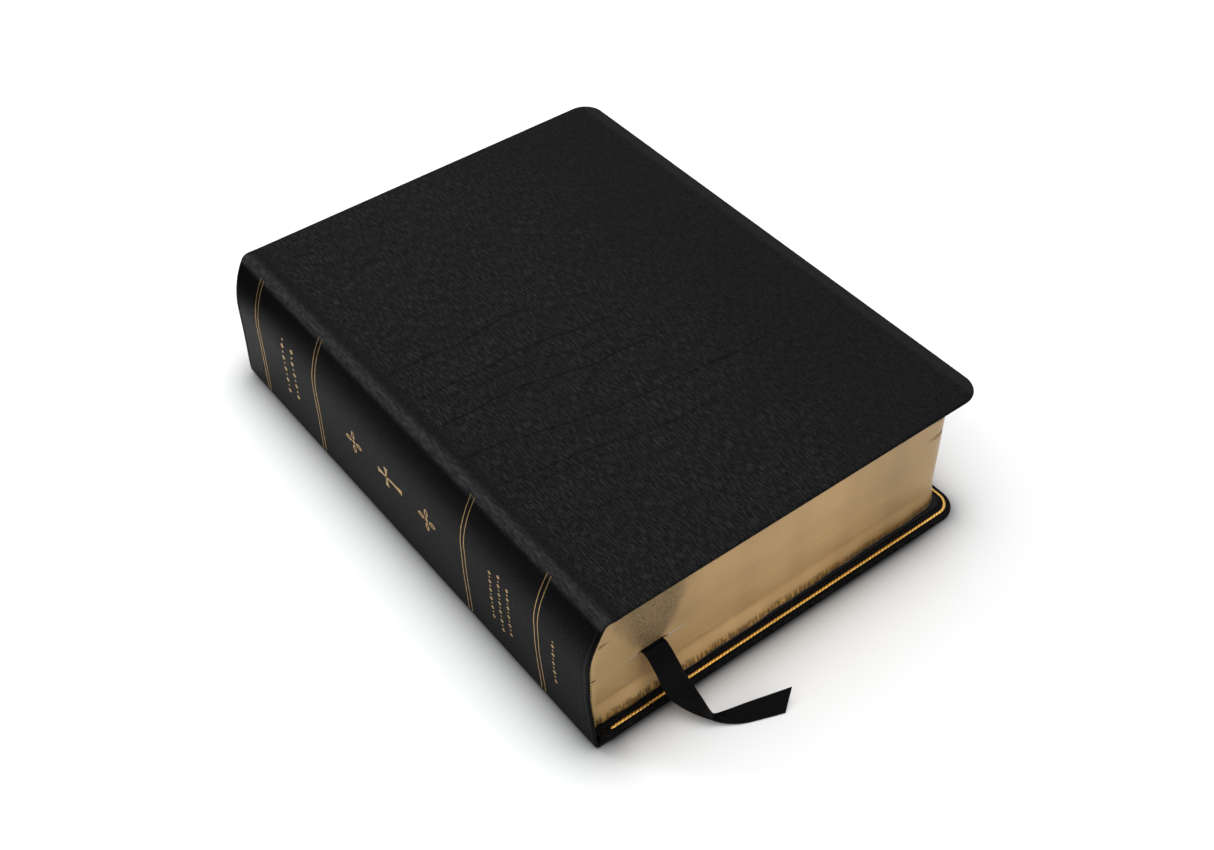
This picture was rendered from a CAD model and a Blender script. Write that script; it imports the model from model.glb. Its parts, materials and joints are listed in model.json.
"""A thick leather-bound bible on its back cover, with gilt pages and a black ribbon marker.

Lengths are in millimetres in the book's own place, where x = 0 is the outermost line of the
spine, y = 0 is half way along it and z = 0 is the table. to_row() turns them into metres.
"""

import json
import math

import bmesh
import bpy
import numpy as np
from mathutils import Matrix, Vector


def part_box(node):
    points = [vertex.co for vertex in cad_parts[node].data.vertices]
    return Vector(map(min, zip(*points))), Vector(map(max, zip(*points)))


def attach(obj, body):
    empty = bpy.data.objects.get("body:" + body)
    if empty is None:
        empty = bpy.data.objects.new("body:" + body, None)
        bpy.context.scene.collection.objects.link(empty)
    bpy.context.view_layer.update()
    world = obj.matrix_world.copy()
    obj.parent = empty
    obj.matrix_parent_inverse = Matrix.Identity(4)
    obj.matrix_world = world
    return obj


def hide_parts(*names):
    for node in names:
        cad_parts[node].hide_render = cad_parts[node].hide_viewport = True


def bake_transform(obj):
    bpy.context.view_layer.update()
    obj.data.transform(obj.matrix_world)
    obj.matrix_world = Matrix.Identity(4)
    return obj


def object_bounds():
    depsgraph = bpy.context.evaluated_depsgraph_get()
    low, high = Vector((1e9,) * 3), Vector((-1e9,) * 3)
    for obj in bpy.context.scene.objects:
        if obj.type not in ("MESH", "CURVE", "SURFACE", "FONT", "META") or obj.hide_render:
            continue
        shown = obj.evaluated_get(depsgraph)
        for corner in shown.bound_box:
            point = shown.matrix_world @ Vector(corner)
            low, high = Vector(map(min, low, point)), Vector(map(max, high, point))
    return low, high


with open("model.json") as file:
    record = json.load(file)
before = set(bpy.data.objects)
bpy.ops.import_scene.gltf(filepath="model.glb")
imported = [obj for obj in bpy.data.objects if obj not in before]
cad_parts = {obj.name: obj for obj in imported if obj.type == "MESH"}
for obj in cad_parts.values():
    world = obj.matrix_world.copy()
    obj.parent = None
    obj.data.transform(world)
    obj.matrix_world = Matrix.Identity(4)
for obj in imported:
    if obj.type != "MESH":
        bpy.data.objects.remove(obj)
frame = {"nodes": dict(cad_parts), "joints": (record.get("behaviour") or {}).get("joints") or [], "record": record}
CAD_BOX = [list(corner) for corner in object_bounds()]

MM = 0.001
SEED = 7

# ---- sizes, from the frame ----
WHOLE_LO = np.array(CAD_BOX[0]) / MM
FRONT_LO, FRONT_HI = (np.array(corner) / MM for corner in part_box("front_cover_leather"))
SPINE_X = WHOLE_LO[0]
MID_Y = (FRONT_LO[1] + FRONT_HI[1]) / 2
COVER_X = FRONT_HI[0] - SPINE_X
COVER_HALF = (FRONT_HI[1] - FRONT_LO[1]) / 2
BOOK_T = FRONT_HI[2]
COVER_T = BOOK_T - FRONT_LO[2]
FRONT_COVER_X = FRONT_LO[0] - SPINE_X


def book_box(node):
    """A node's lowest and highest corners, in the book's own millimetres."""
    lo, hi = (np.array(corner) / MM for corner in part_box(node))
    shift = np.array([SPINE_X, MID_Y, 0.0])
    return lo - shift, hi - shift


def joint_place(name):
    """A joint's place, in the book's own millimetres."""
    joint = next(j for j in frame["joints"] if j["name"] == name)
    return np.array(joint["pos_m"]) / MM - np.array([SPINE_X, MID_Y, 0.0])


BLOCK_LO, BLOCK_HI = book_box("back_gathering_01")
BLOCK_X0 = BLOCK_LO[0]
BLOCK_X1 = BLOCK_HI[0]
BLOCK_HALF = BLOCK_HI[1]
SPINE_FACE_X = book_box("back_spine_leather")[0][0]

# ---- the hide's line round the spine ----
BEAD_R = 3.0
FLANK_Z = 38.0
SHOULDER_R = 47.0
PAGE_SHOULDER_R = 40.0
RIDGE_R = 4.5
CORNER_R = 9.5
PAGE_CORNER_R = 10.0
SPINE_T = 1.5
LEATHER_T = 1.2
TURN_IN = 5.0

SHOULDER_X = SPINE_FACE_X + SHOULDER_R
RIDGE_TILT = math.asin((BOOK_T - FLANK_Z - RIDGE_R) / (SHOULDER_R - RIDGE_R))
RIDGE_X = SHOULDER_X - (SHOULDER_R - RIDGE_R) * math.cos(RIDGE_TILT)
RIDGE_LEN = RIDGE_R * (math.pi / 2 - RIDGE_TILT)
SHOULDER_LEN = SHOULDER_R * RIDGE_TILT
FLANK_LEN = FLANK_Z - BEAD_R
BEAD_LEN = BEAD_R * math.pi / 2
FLANK_D = RIDGE_LEN + SHOULDER_LEN
BEAD_D = FLANK_D + FLANK_LEN
FOOT_D = BEAD_D + BEAD_LEN
FOOT_X = SPINE_FACE_X + BEAD_R

# where the three hides meet, as a distance down from the top of the ridge
FRONT_SEAM_D = 22.0
BACK_SEAM_D = 53.0
# a hair-wide column beside each seam, so that both hides have the same normals there
SEAM_EDGE = 0.04


def to_row(points):
    """Points in the book's millimetres, as metres in the row's frame."""
    return (np.asarray(points, float) + np.array([SPINE_X, MID_Y, 0.0])) * MM


def row_point(x, y, z):
    return tuple(float(v) for v in to_row([x, y, z]))


def smooth(t):
    t = np.clip(t, 0.0, 1.0)
    return t * t * (3 - 2 * t)


def hide_line(d):
    """x, z and the outward normal's x, z on the hide's outer face, d mm down from the ridge."""
    d = np.asarray(d, float)
    ridge_a = math.pi / 2 - d / RIDGE_R
    shoulder_a = RIDGE_TILT - (d - RIDGE_LEN) / SHOULDER_R
    bead_a = -(d - BEAD_D) / BEAD_R
    pieces = [d <= 0, d <= RIDGE_LEN, d <= FLANK_D, d <= BEAD_D, d <= FOOT_D]
    x = np.select(pieces, [
        RIDGE_X - d,
        RIDGE_X - RIDGE_R * np.cos(ridge_a),
        SHOULDER_X - SHOULDER_R * np.cos(shoulder_a),
        SPINE_FACE_X + 0 * d,
        FOOT_X - BEAD_R * np.cos(bead_a),
    ], FOOT_X + d - FOOT_D)
    z = np.select(pieces, [
        BOOK_T + 0 * d,
        BOOK_T - RIDGE_R + RIDGE_R * np.sin(ridge_a),
        FLANK_Z + SHOULDER_R * np.sin(shoulder_a),
        FLANK_Z - (d - FLANK_D),
        BEAD_R + BEAD_R * np.sin(bead_a),
    ], 0 * d)
    none = 0 * d
    nx = np.select(pieces, [none, -np.cos(ridge_a), -np.cos(shoulder_a), none - 1, -np.cos(bead_a)], none)
    nz = np.select(pieces, [none + 1, np.sin(ridge_a), np.sin(shoulder_a), none, np.sin(bead_a)], none - 1)
    return x, z, nx, nz


def flank_d(z):
    """How far down from the ridge the spine's height z is."""
    z = np.asarray(z, float)
    tilt = np.arcsin(np.clip((z - FLANK_Z) / SHOULDER_R, 0, 1))
    on_shoulder = RIDGE_LEN + SHOULDER_R * (RIDGE_TILT - tilt)
    return np.where(z > FLANK_Z, on_shoulder, FLANK_D + FLANK_Z - z)


# ---- mesh helpers ----

def make_mesh(name, points, faces, material, attributes=None, smooth_shade=True, flat_last=0):
    """A new object from points in the book's millimetres, with outward faces.

    The last flat_last faces are flat, with a crisp border.
    """
    mesh = bpy.data.meshes.new(name)
    mesh.from_pydata(to_row(points).tolist(), [], faces)
    mesh.validate()
    bm = bmesh.new()
    bm.from_mesh(mesh)
    bmesh.ops.recalc_face_normals(bm, faces=bm.faces)
    bm.to_mesh(mesh)
    bm.free()
    for key, values in (attributes or {}).items():
        values = np.asarray(values, np.float32)
        kind = "FLOAT" if values.ndim == 1 else "FLOAT_VECTOR"
        slot = "value" if values.ndim == 1 else "vector"
        mesh.attributes.new(key, kind, "POINT").data.foreach_set(slot, values.ravel())
    round_faces = len(mesh.polygons) - flat_last
    mesh.polygons.foreach_set("use_smooth", [smooth_shade] * round_faces + [False] * flat_last)
    if flat_last:
        crisp = {key for polygon in mesh.polygons[-flat_last:] for key in polygon.edge_keys}
        mesh.edges.foreach_set("use_edge_sharp", [edge.key in crisp for edge in mesh.edges])
    for each in material if isinstance(material, (list, tuple)) else [material]:
        mesh.materials.append(each)
    piece = bpy.data.objects.new(name, mesh)
    bpy.context.collection.objects.link(piece)
    return piece


def grid_faces(rows, cols, first=0):
    """Quads over a rows x cols grid of points that starts at index first."""
    i, j = np.meshgrid(np.arange(rows - 1), np.arange(cols - 1), indexing="ij")
    a = (first + i * cols + j).ravel()
    return np.stack([a, a + 1, a + cols + 1, a + cols], 1).tolist()


def strip_faces(a, b):
    """Quads between two lists of point indices of the same length."""
    return [[a[k], a[k + 1], b[k + 1], b[k]] for k in range(len(a) - 1)]


def ring_stack_faces(levels, count, first=0, round_again=False):
    """Quads round a stack of closed rings of points, whose last ring may join the first one."""
    faces = []
    for level in range(levels if round_again else levels - 1):
        base = first + level * count
        above = first + (level + 1) % levels * count
        for k in range(count):
            nxt = (k + 1) % count
            faces.append([base + k, base + nxt, above + nxt, above + k])
    return faces


def spaced(start, stop, step):
    """Evenly spaced values from start to stop, at most step apart."""
    return np.linspace(start, stop, max(2, int(math.ceil(abs(stop - start) / step)) + 1))


def chain(*parts):
    """Joins runs of values, dropping each repeated join."""
    out = [parts[0]]
    for part in parts[1:]:
        out.append(part[1:])
    return np.concatenate(out)


# ---- the outlines of covers and pages ----

def half_length(x, x_end, half, radius):
    """Half the length of a leaf with two round fore-edge corners, at x."""
    x_turn = x_end - radius
    inside = np.clip(radius ** 2 - np.clip(x - x_turn, 0, radius) ** 2, 0, None)
    return np.where(x <= x_turn, half, half - radius + np.sqrt(inside))


def edge_distance(x, y, x_end, half, radius):
    """How far inside the cover's outline a point is, ignoring the spine side."""
    cx = x_end - radius
    cy = half - radius
    dx = x - cx
    dy = np.abs(y) - cy
    in_corner = (dx > 0) & (dy > 0)
    corner = radius - np.hypot(dx, dy)
    straight = np.minimum(x_end - x, half - np.abs(y))
    return np.where(in_corner, corner, straight)


def along_rows(half, fine, coarse, margin):
    """Shares from -1 to 1 along the book, closer together near both ends."""
    end = spaced(0, margin, fine)
    middle = spaced(margin, half, coarse)
    side = chain(end, middle)
    return chain((side - half), (half - side)[::-1]) / half


def rim_steps(count=5):
    """Angles round an edge, first from the outer face and then on to the inner face."""
    angles = np.linspace(0, math.pi / 2, count + 1)[1:]
    return [(a, True) for a in angles] + [(a, False) for a in angles[::-1]]


# ---- how the soft binding has settled on the table ----
FORE_DRAWN_IN = 2.8
FOOT_FULLER = 1.8
WAIST_IN = 3.7
WAIST_Z = 28
TOP_OUT = 1.0
HEAD_SHARE = 0.3


def settled(points):
    """Leather, gold and linings: fuller near the table and drawn in half way up, mostly at the tail.

    The back cover's fore edge is drawn in towards the spine.
    """
    x, y, z = np.asarray(points, float).T
    low = smooth((20 - z) / 12)
    reach = FOOT_FULLER - WAIST_IN * smooth(z / WAIST_Z) + TOP_OUT * smooth((z - 40) / 20)
    stretch = 1 + np.where(y < 0, 1.0, HEAD_SHARE) * reach / COVER_HALF
    return np.column_stack([x - FORE_DRAWN_IN * low * smooth((x - 40) / 140), y * stretch, z])


# ---- creases in the front cover ----
# Each crease is the points of its line, from the spine side to the fore edge, and its depth.
CREASES = [
    ([(14, 107), (56, 105), (88, 100)], 0.5),
    ([(22, 84), (50, 83), (70, 80)], 0.2),
    ([(56, 62), (70, 61), (84, 57)], 0.35),
    ([(52, 54), (66, 54), (82, 51)], 0.35),
    ([(40, 44), (60, 43), (80, 41)], 0.25),
    ([(20, 33), (44, 32), (70, 34)], 0.3),
    ([(14, 23), (48, 22), (69, 23.5), (86, 19)], 0.9),
    ([(15, 17.5), (28, 18), (44, 15.5)], 0.6),
    ([(14, 4), (62, 4), (86, 0), (114, -2.5)], 0.9),
    ([(30, -1), (56, -4), (84, -10), (112, -12)], 0.7),
    ([(12, -12), (40, -12.6), (58, -15), (80, -20), (104, -22), (120, -23)], 1.0),
    ([(12, -32), (30, -33), (50, -39), (68, -44), (88, -45), (112, -48), (150, -49)], 0.9),
    ([(12, -50), (30, -52), (46, -54.5), (66, -60), (88, -63), (104, -65)], 0.8),
    ([(12, -55.5), (30, -57), (48, -60), (60, -63.5)], 0.7),
    ([(10, -79.5), (40, -81), (66, -83)], 0.55),
    ([(16, -94), (36, -95), (60, -97)], 0.25),
]
CREASE_REACH = 4.5
CREASE_DIP = 0.12
CREASE_DIP_W = 2.4


def crease_field(x, y):
    """Signed distance to the nearest crease, and how strong that crease is there."""
    best = np.full(x.shape, 99.0)
    strength = np.zeros(x.shape)
    for line, depth in CREASES:
        xs, ys = zip(*line)
        wander = 0.5 * np.sin(x / 7.3 + ys[0]) + 0.2 * np.sin(x / 2.9 + 2 * ys[0])
        off = y - np.interp(x, xs, ys) - wander
        ramp = smooth((x - xs[0] + 3) / 9) * smooth((xs[-1] + 10 - x) / 26)
        here = depth * ramp * smooth((CREASE_REACH - np.abs(off)) / 2)
        nearer = (np.abs(off) < np.abs(best)) & (here > 0.001)
        best = np.where(nearer, off, best)
        strength = np.where(nearer, here, strength)
    return np.clip(best, -CREASE_REACH, CREASE_REACH), strength


def slow_waves(d, y, amount):
    """Gentle unevenness of soft leather over board."""
    long_waves = np.sin(d / 17 + y / 41) + np.sin(y / 23 - d / 37 + 1.3)
    return amount * (long_waves + 0.6 * np.sin(y / 9 + d / 13)) / 2.6


BLIND_LINE_IN = 3.6
BLIND_LINE_W = 0.42
BLIND_LINE_DEPTH = 0.10
COVER_WAVES = 0.10
EDGE_FALL = 0.25
TURNED_ROLL = 0.10
TURNED_GROOVE = 0.12


def cover_relief(x, y, d, crease, strength):
    """Height of the cover's face over its plain shape."""
    edge = edge_distance(x, y, COVER_X, COVER_HALF, CORNER_R)
    on_top = smooth((x - RIDGE_X + 2) / 8)
    dips = -CREASE_DIP * strength * np.exp(-(crease / CREASE_DIP_W) ** 2)
    line = -BLIND_LINE_DEPTH * on_top * np.exp(-((edge - BLIND_LINE_IN) / BLIND_LINE_W) ** 2)
    soft = slow_waves(d, y, COVER_WAVES) * smooth(edge / 12) * on_top
    fall = -EDGE_FALL * smooth((4 - edge) / 4) * on_top
    return dips + line + soft + fall


def spine_relief(y):
    """A roll where the spine leather is turned in at head and tail."""
    edge = COVER_HALF - np.abs(y)
    roll = TURNED_ROLL * np.exp(-((edge - 1.1) / 0.6) ** 2)
    return roll - TURNED_GROOVE * np.exp(-((edge - 2.6) / 0.45) ** 2)


# ---- the three hides ----
EDGE_R = 1.2
EDGE_PARED = 0.9


def pared_share(edge):
    """How much of the paring a cover has, edge mm inside its outline."""
    return smooth((6 - edge) / 5)


def hide(name, d_cols, rows, material, thick, side, depth_of, relief):
    """One closed piece of leather, over columns of d (down from the ridge) and rows along y.

    thick is the thickness of the edge at each column, depth_of gives how deep the inner face lies,
    and side is "front" or "back" for a cover with a fore edge, or "" for the spine.
    """
    x, z, nx, nz = hide_line(d_cols)
    edge_r = np.minimum(EDGE_R, thick / 2)
    if side:
        half = half_length(x, COVER_X - EDGE_R, COVER_HALF - EDGE_R, CORNER_R - EDGE_R) + EDGE_R - edge_r
    else:
        half = COVER_HALF - edge_r
    y = half[:, None] * rows[None, :]
    cols, count = y.shape
    xx, zz, dd = (np.repeat(v[:, None], count, 1) for v in (x, z, d_cols))
    normal = np.stack([nx, 0 * nx, nz], 1)[:, None, :]
    if side == "front":
        crease, strength = crease_field(xx, y)
    else:
        crease, strength = 0 * xx + CREASE_REACH, 0 * xx
    base = np.stack([xx, y, zz], 2)
    depth = depth_of(xx, y, dd)
    outer = base + normal * relief(xx, y, dd, crease, strength)[:, :, None]
    inner = base - normal * depth[:, :, None]

    # the path round the open edges: the tail side, the fore edge, then back along the head side
    tail = [(i, 0) for i in range(cols)]
    fore = [(cols - 1, j) for j in range(1, count)]
    head = [(i, count - 1) for i in range(cols)]
    paths = [tail + fore + head[-2::-1]] if side else [tail, head]

    points = [outer.reshape(-1, 3), inner.reshape(-1, 3)]
    places = [np.stack([dd, y, 0 * y], 2).reshape(-1, 3)] * 2
    creases = [crease.ravel(), crease.ravel()]
    strengths = [strength.ravel(), 0 * strength.ravel()]
    faces = grid_faces(cols, count) + grid_faces(cols, count, cols * count)
    total = 2 * cols * count
    ends = {}
    for path in paths:
        i, j = np.array(path).T
        sine = np.zeros(len(path))
        if side:
            sine = np.clip((x[i] - COVER_X + CORNER_R) / (CORNER_R - EDGE_R), 0, 1)
            sine[i == cols - 1] = 1.0
        out = np.stack([sine, np.where(j > count / 2, 1, -1) * np.sqrt(1 - sine ** 2), 0 * sine], 1)
        down = -np.stack([nx[i], 0 * sine, nz[i]], 1)
        toward = np.array([-1 if side == "front" else 1, 1, 0])
        place = np.stack([d_cols[i], y[i, j], 0 * sine], 1)
        loops = [i * count + j]
        for angle, from_outer in rim_steps():
            sunk = edge_r[i] * (1 - math.cos(angle))
            fall = sunk if from_outer else depth[i, j] - sunk
            reach = edge_r[i] * math.sin(angle)
            start = outer[i, j] if from_outer else base[i, j]
            points.append(start + out * reach[:, None] + down * fall[:, None])
            places.append(place + out * toward * (reach + fall)[:, None])
            creases.append(np.full(len(path), CREASE_REACH))
            strengths.append(np.zeros(len(path)))
            loops.append(np.arange(total, total + len(path)))
            total += len(path)
        loops.append(cols * count + i * count + j)
        loops = [loop.tolist() for loop in loops]
        for upper, lower in zip(loops, loops[1:]):
            faces += strip_faces(upper, lower)
        ends[path[0]] = [loop[0] for loop in loops]
        ends[path[-1]] = [loop[-1] for loop in loops]

    # close the ends where one hide meets the next
    caps = []
    for i in [0] if side else [0, cols - 1]:
        outer_row = [i * count + j for j in range(count)]
        caps += strip_faces(outer_row, [cols * count + k for k in outer_row])
        caps += [ends[(i, 0)], ends[(i, count - 1)]]
    attributes = {
        "hide_place": np.concatenate(places),
        "crease": np.concatenate(creases),
        "crease_strength": np.concatenate(strengths),
    }
    points = settled(np.concatenate(points))
    return make_mesh(name, points, faces + caps, material, attributes, flat_last=len(caps))


def fore_columns(count=16):
    """x of the columns that run round the fore-edge corners."""
    return COVER_X - CORNER_R + (CORNER_R - EDGE_R) * np.sin(np.linspace(0, math.pi / 2, count))


def pocket_depth(thick, xx, y, inward, room):
    """Depth of a cover's inner face: pared thinner at its edges, one leather inside the turn-in.

    inward is how far a point is past the joint, and room how far inside the spine side's margin.
    """
    edge = edge_distance(xx, y, COVER_X, COVER_HALF, CORNER_R)
    pared = pared_share(edge) * smooth(inward / 8)
    rim = np.repeat(thick[:, None], pared.shape[1], 1) - EDGE_PARED * pared
    return rim + (LEATHER_T - rim) * smooth((np.minimum(edge, room) - TURN_IN) / 0.8)


def front_hide(material):
    x_cols = fore_columns()
    seam = np.array([FRONT_SEAM_D, FRONT_SEAM_D - SEAM_EDGE])
    ridge = chain(seam, spaced(seam[1], RIDGE_LEN, 1.0), spaced(RIDGE_LEN, 0, 0.45), spaced(0, -4, 0.6))
    d_cols = chain(ridge, spaced(-4, RIDGE_X - x_cols[0], 1.05), RIDGE_X - x_cols)
    rows = along_rows(COVER_HALF, 0.3, 1.05, 6)
    thick = SPINE_T + (COVER_T - SPINE_T) * smooth((RIDGE_LEN - d_cols) / (RIDGE_LEN + 4))

    def depth_of(xx, y, dd):
        return pocket_depth(thick, xx, y, 2 - dd, xx - FRONT_COVER_X)

    def relief(xx, y, dd, crease, strength):
        on_spine = smooth((dd - RIDGE_LEN) / 4)
        return cover_relief(xx, y, dd, crease, strength) + on_spine * spine_relief(y)

    return hide("front_cover_hide", d_cols, rows, material, thick, "front", depth_of, relief)


def spine_hide(material):
    upper = np.array([FRONT_SEAM_D, FRONT_SEAM_D + SEAM_EDGE])
    lower = np.array([BACK_SEAM_D - SEAM_EDGE, BACK_SEAM_D])
    d_cols = chain(upper, spaced(upper[1], lower[0], 0.8), lower)
    rows = along_rows(COVER_HALF, 0.3, 1.3, 6)
    thick = np.full(len(d_cols), SPINE_T)

    def depth_of(xx, y, dd):
        return 0 * xx + SPINE_T

    def relief(xx, y, dd, crease, strength):
        return spine_relief(y)

    return hide("spine_hide", d_cols, rows, material, thick, "", depth_of, relief)


def back_hide(material):
    x_cols = fore_columns()
    seam = np.array([BACK_SEAM_D, BACK_SEAM_D + SEAM_EDGE])
    bead = chain(seam, spaced(seam[1], BEAD_D, 0.9), spaced(BEAD_D, FOOT_D, 0.4))
    flat = chain(spaced(FOOT_D, FOOT_D + 5, 0.7), spaced(FOOT_D + 5, FOOT_D + x_cols[0] - FOOT_X, 1.6))
    d_cols = chain(bead, flat, FOOT_D + x_cols - FOOT_X)
    rows = along_rows(COVER_HALF, 0.45, 1.6, 6)
    thick = SPINE_T + (COVER_T - SPINE_T) * smooth((d_cols - FOOT_D + 2) / 2.5)

    def depth_of(xx, y, dd):
        return pocket_depth(thick, xx, y, dd - FOOT_D - 1, dd - FOOT_D - 4)

    def relief(xx, y, dd, crease, strength):
        return smooth((BEAD_D - dd) / 4) * spine_relief(y)

    return hide("back_cover_hide", d_cols, rows, material, thick, "back", depth_of, relief)


# ---- gold on the covers and the spine ----

def outline_path(x0, x_end, half, radius, step, round_steps=14):
    """Points and outward directions from the spine side at the tail, round the fore edge, to the head."""
    turn = x_end - radius
    angles = np.linspace(0, math.pi / 2, round_steps + 1)
    tail_x = spaced(x0, turn, step)
    fore_y = spaced(-half + radius, half - radius, step)
    points = [np.stack([tail_x, 0 * tail_x - half], 1)]
    outs = [np.tile([0.0, -1.0], (len(tail_x), 1))]
    for side, run in ((-1, angles[1:]), (1, angles[::-1])):
        if side == 1:
            points.append(np.stack([0 * fore_y + x_end, fore_y], 1)[1:])
            outs.append(np.tile([1.0, 0.0], (len(fore_y) - 1, 1)))
            run = run[1:]
        corner = np.stack([np.sin(run), side * np.cos(run)], 1)
        points.append(corner * radius + [turn, side * (half - radius)])
        outs.append(corner)
    points.append(np.stack([tail_x[::-1], 0 * tail_x + half], 1)[1:])
    outs.append(np.tile([0.0, 1.0], (len(tail_x) - 1, 1)))
    return np.concatenate(points), np.concatenate(outs)


FILLET_IN = 2.1
FILLET_W = 1.3
FILLET_RISE = 0.22
ROPE_PITCH = 1.7


def gold_fillet(name, x0, z_face, up, material):
    """A rope-pattern line of foil just inside a cover's edges; up is 1 or -1 for its outward side."""
    inset = FILLET_IN + FILLET_W / 2
    z_face = z_face - up * EDGE_PARED * float(pared_share(inset))
    half, radius = COVER_HALF - inset, CORNER_R - inset
    path, outs = outline_path(x0, COVER_X - inset, half, radius, 0.3)
    spine_y = spaced(half, -half, 0.3)[1:-1]
    path = np.concatenate([path, np.stack([0 * spine_y + x0, spine_y], 1)])
    outs = np.concatenate([outs, np.tile([-1.0, 0.0], (len(spine_y), 1))])
    run = np.concatenate([[0], np.cumsum(np.hypot(*np.diff(path, axis=0).T))])
    shares = np.array([-0.5, -0.42, -0.2, 0.0, 0.2, 0.42, 0.5])
    rises = np.array([-0.3, 0.5, 0.9, 1.0, 0.9, 0.5, -0.3])
    rows, twists = [], []
    for share, rise in zip(shares, rises):
        twist = 0.5 + 0.5 * np.sin(2 * math.pi * (run / ROPE_PITCH + share * 0.9))
        twists.append(twist)
        high = FILLET_RISE * rise * (0.55 + 0.45 * twist if rise > 0 else 1.0)
        xy = path + outs * share * FILLET_W
        rows.append(np.column_stack([xy, z_face + up * (high + 0 * run)]))
    points = np.concatenate(rows)
    faces = ring_stack_faces(len(shares), len(path), round_again=True)
    return make_mesh(name, settled(points), faces, material, {"twist": np.concatenate(twists)})


FOIL_RISE = 0.06
FOIL_SINK = 0.05
RULE_PAIRS_Y = (105, 59, -47, -93)
RULE_GAP = 2.2
RULE_W = 0.44


class Foil:
    """Collects thin closed shapes of foil that lie on the spine."""

    def __init__(self):
        self.points = []
        self.faces = []

    def on_spine(self, d, y, rise):
        x, z, nx, nz = hide_line(d)
        lift = rise + spine_relief(np.asarray(y, float))
        return np.stack([x + nx * lift, y + 0 * x, z + nz * lift], 1)

    def add_outline(self, y, z):
        """A flat shape from its outline in y and height z."""
        y, d = np.asarray(y, float), flank_d(z)
        n, first = len(y), sum(len(p) for p in self.points)
        self.points += [self.on_spine(d, y, FOIL_RISE), self.on_spine(d, y, -FOIL_SINK)]
        self.faces.append([first + k for k in range(n)])
        self.faces.append([first + n + k for k in range(n)][::-1])
        self.faces += ring_stack_faces(2, n, first)

    def add_band(self, y_a, z_a, y_b, z_b):
        """A strip between two lines of points of the same length."""
        for k in range(len(y_a) - 1):
            y = [y_a[k], y_a[k + 1], y_b[k + 1], y_b[k]]
            z = [z_a[k], z_a[k + 1], z_b[k + 1], z_b[k]]
            self.add_outline(y, z)

    def add_rule(self, y, width, d_from, d_to):
        """A line across the spine, one closed strip with a slightly crowned face."""
        d = spaced(d_from, d_to, 0.5)
        n, first = len(d), sum(len(p) for p in self.points)
        waver = 0.03 * np.sin(d / 2.1 + y) + 0.02 * np.sin(d / 0.8 + 2 * y)
        for share, rise in ((-0.5, -FOIL_SINK), (-0.4, FOIL_RISE), (0.4, FOIL_RISE), (0.5, -FOIL_SINK)):
            self.points.append(self.on_spine(d, y + waver + share * width, rise))
        lines = [range(first + r * n, first + r * n + n) for r in range(4)]
        for line, following in zip(lines, lines[1:] + lines[:1]):
            self.faces += strip_faces(line, following)
        self.faces += [[line[k] for line in lines] for k in (0, n - 1)]


def lozenge(foil, y, z, half_y, half_z, hole=0.0):
    """A lozenge, solid or with an open middle."""
    corner_y = np.array([-half_y, 0, half_y, 0, -half_y])
    corner_z = np.array([0, -half_z, 0, half_z, 0])
    share = np.linspace(0, 4, 25)
    edge_y = y + np.interp(share, range(5), corner_y)
    edge_z = z + np.interp(share, range(5), corner_z)
    if hole:
        foil.add_band(edge_y, edge_z, y + (edge_y - y) * hole, z + (edge_z - z) * hole)
    else:
        foil.add_outline(edge_y[:-1], edge_z[:-1])


def lozenge_row(foil, y, z, length, size):
    """A row of lozenges across the spine, with a small one between each two."""
    count = round(length / (2.4 * size))
    for i in range(count):
        at = z + (i - (count - 1) / 2) * 2.4 * size
        if i % 2:
            lozenge(foil, y, at, size * 0.55, size * 0.5)
        else:
            lozenge(foil, y, at, size, 0.95 * size)


def flower(foil, y, z, size):
    """Four open petals round a small lozenge."""
    angles = np.linspace(0, 2 * math.pi, 21)
    for quarter in range(4):
        turn = quarter * math.pi / 2
        along = size * (0.62 + 0.36 * np.cos(angles))
        across = size * 0.2 * np.sin(angles)
        inner_along = size * (0.62 + 0.22 * np.cos(angles))
        inner_across = size * 0.09 * np.sin(angles)
        c, s = math.cos(turn), math.sin(turn)
        foil.add_band(y + along * c - across * s, z + along * s + across * c,
                      y + inner_along * c - inner_across * s, z + inner_along * s + inner_across * c)
    lozenge(foil, y, z, size * 0.2, size * 0.2)


def cross(foil, y, z, height):
    """A plain upright cross with flared ends, standing towards the head."""
    def arm(y0, z0, y1, z1, w0, w1):
        share = np.linspace(0, 1, 9)
        width = w0 + (w1 - w0) * share ** 3
        length = math.hypot(y1 - y0, z1 - z0)
        across = np.array([-(z1 - z0), y1 - y0]) / length
        line_y, line_z = y0 + (y1 - y0) * share, z0 + (z1 - z0) * share
        foil.add_band(line_y + across[0] * width, line_z + across[1] * width,
                      line_y - across[0] * width, line_z - across[1] * width)

    thin, flare = height * 0.035, height * 0.085
    top, low, reach = height * 0.5, -height * 0.5, height * 0.3
    centre = y + height * 0.14
    arm(centre, z, y + top, z, thin, flare)
    arm(centre, z, y + low, z, thin, flare)
    arm(centre, z, centre, z + reach, thin, flare)
    arm(centre, z, centre, z - reach, thin, flare)


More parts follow.
